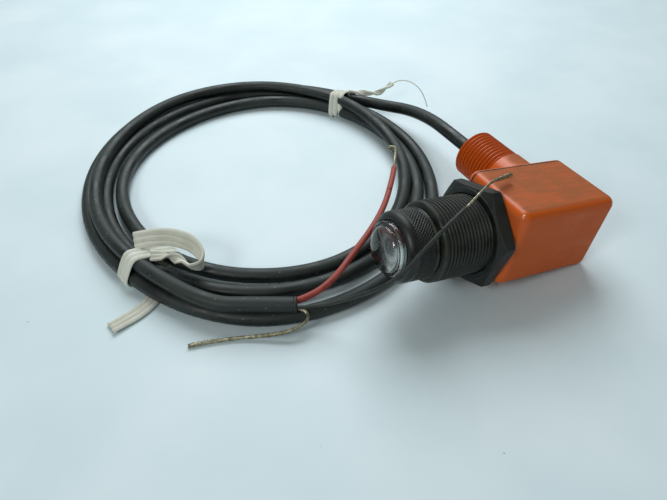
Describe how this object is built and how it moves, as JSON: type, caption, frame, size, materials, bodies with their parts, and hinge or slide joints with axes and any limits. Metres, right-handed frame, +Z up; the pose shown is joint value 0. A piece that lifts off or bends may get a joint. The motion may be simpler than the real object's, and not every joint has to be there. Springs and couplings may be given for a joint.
{
  "type": "photoelectric sensor",
  "caption": "Photoelectric sensor head: moulded block with a threaded barrel, mounting nut, knurled lens collar, domed lens and side conduit stub with a coiled cable.",
  "frame": {"origin": "on the table, under the middle of the box round the sensor head (cable left out), as the head lies propped on its rear bottom edge", "axes": "+Z up from the table; the barrel points to -Y and 10 degrees up; the conduit stub points to -X"},
  "size_m": [0.2106, 0.1852, 0.0474],
  "materials": {
    "block": "moulded orange thermoplastic, satin, dusty",
    "black_plastic": "glass-filled black plastic, satin",
    "seal_rubber": "moulded rubber",
    "clear_lens": "clear moulded lens, polished",
    "window_glass": "flat window",
    "inner_plastic": "black moulded plastic",
    "can_metal": "plated can",
    "tinned_wire": "tinned copper",
    "board": "fibreglass laminate with solder resist",
    "resistor_body": "lacquered ceramic body",
    "chip_body": "moulded epoxy",
    "capacitor_can": "sleeved can",
    "cable_jacket": "flexible jacket, matt and dusty",
    "red_lead": "flexible insulation, satin",
    "black_lead": "flexible insulation, satin",
    "tie_strip": "ribbed off-white strip"
  },
  "bodies": {
    "root": {"housing_block": "block", "conduit_cover": "block", "barrel": "black_plastic", "element_holder": "inner_plastic", "photo_element": "can_metal", "element_window": "window_glass", "element_legs": "tinned_wire", "circuit_board": "board", "resistors": "resistor_body", "amplifier_chip": "chip_body", "capacitor": "capacitor_can", "terminal_posts": "tinned_wire", "cable_bush": "seal_rubber", "cable_inner_run": "cable_jacket", "cable_clamp_ring": "can_metal", "inner_conductor_red": "red_lead", "inner_conductor_black": "black_lead", "cable_lead": "cable_jacket", "cable_coil": "cable_jacket", "cable_tail": "cable_jacket", "lead_red": "red_lead", "lead_black": "black_lead", "drain_wire": "tinned_wire", "tie_front": "tie_strip", "tie_back": "tie_strip"},
    "gasket": {"nut_gasket": "seal_rubber"},
    "nut": {"mounting_nut": "black_plastic"},
    "lens_set": {"lens": "clear_lens", "lens_seal_ring": "seal_rubber"},
    "collar": {"lens_collar": "black_plastic"}
  },
  "joints": [
    {"name": "nut_travel", "type": "slide", "parent": "root", "child": "gasket", "axis": [0, -0.9848, 0.1736], "range_m": [0, 0.009]},
    {"name": "nut_turn", "type": "hinge", "parent": "gasket", "child": "nut", "pos_m": [0.01312, -0.00323, 0.02119], "axis": [0, -0.9848, 0.1736], "range_deg": [0, 2160]},
    {"name": "lens_travel", "type": "slide", "parent": "root", "child": "lens_set", "axis": [0, -0.9848, 0.1736], "range_m": [0, 0.005]},
    {"name": "collar_turn", "type": "hinge", "parent": "lens_set", "child": "collar", "pos_m": [0.01312, -0.02952, 0.02582], "axis": [0, -0.9848, 0.1736], "range_deg": [0, 1800]}
  ],
  "couplings": [
    {"joint": "nut_travel", "follows": "nut_turn", "m_per_rad": 0.00023873},
    {"joint": "lens_travel", "follows": "collar_turn", "m_per_rad": 0.00015915}
  ]
}
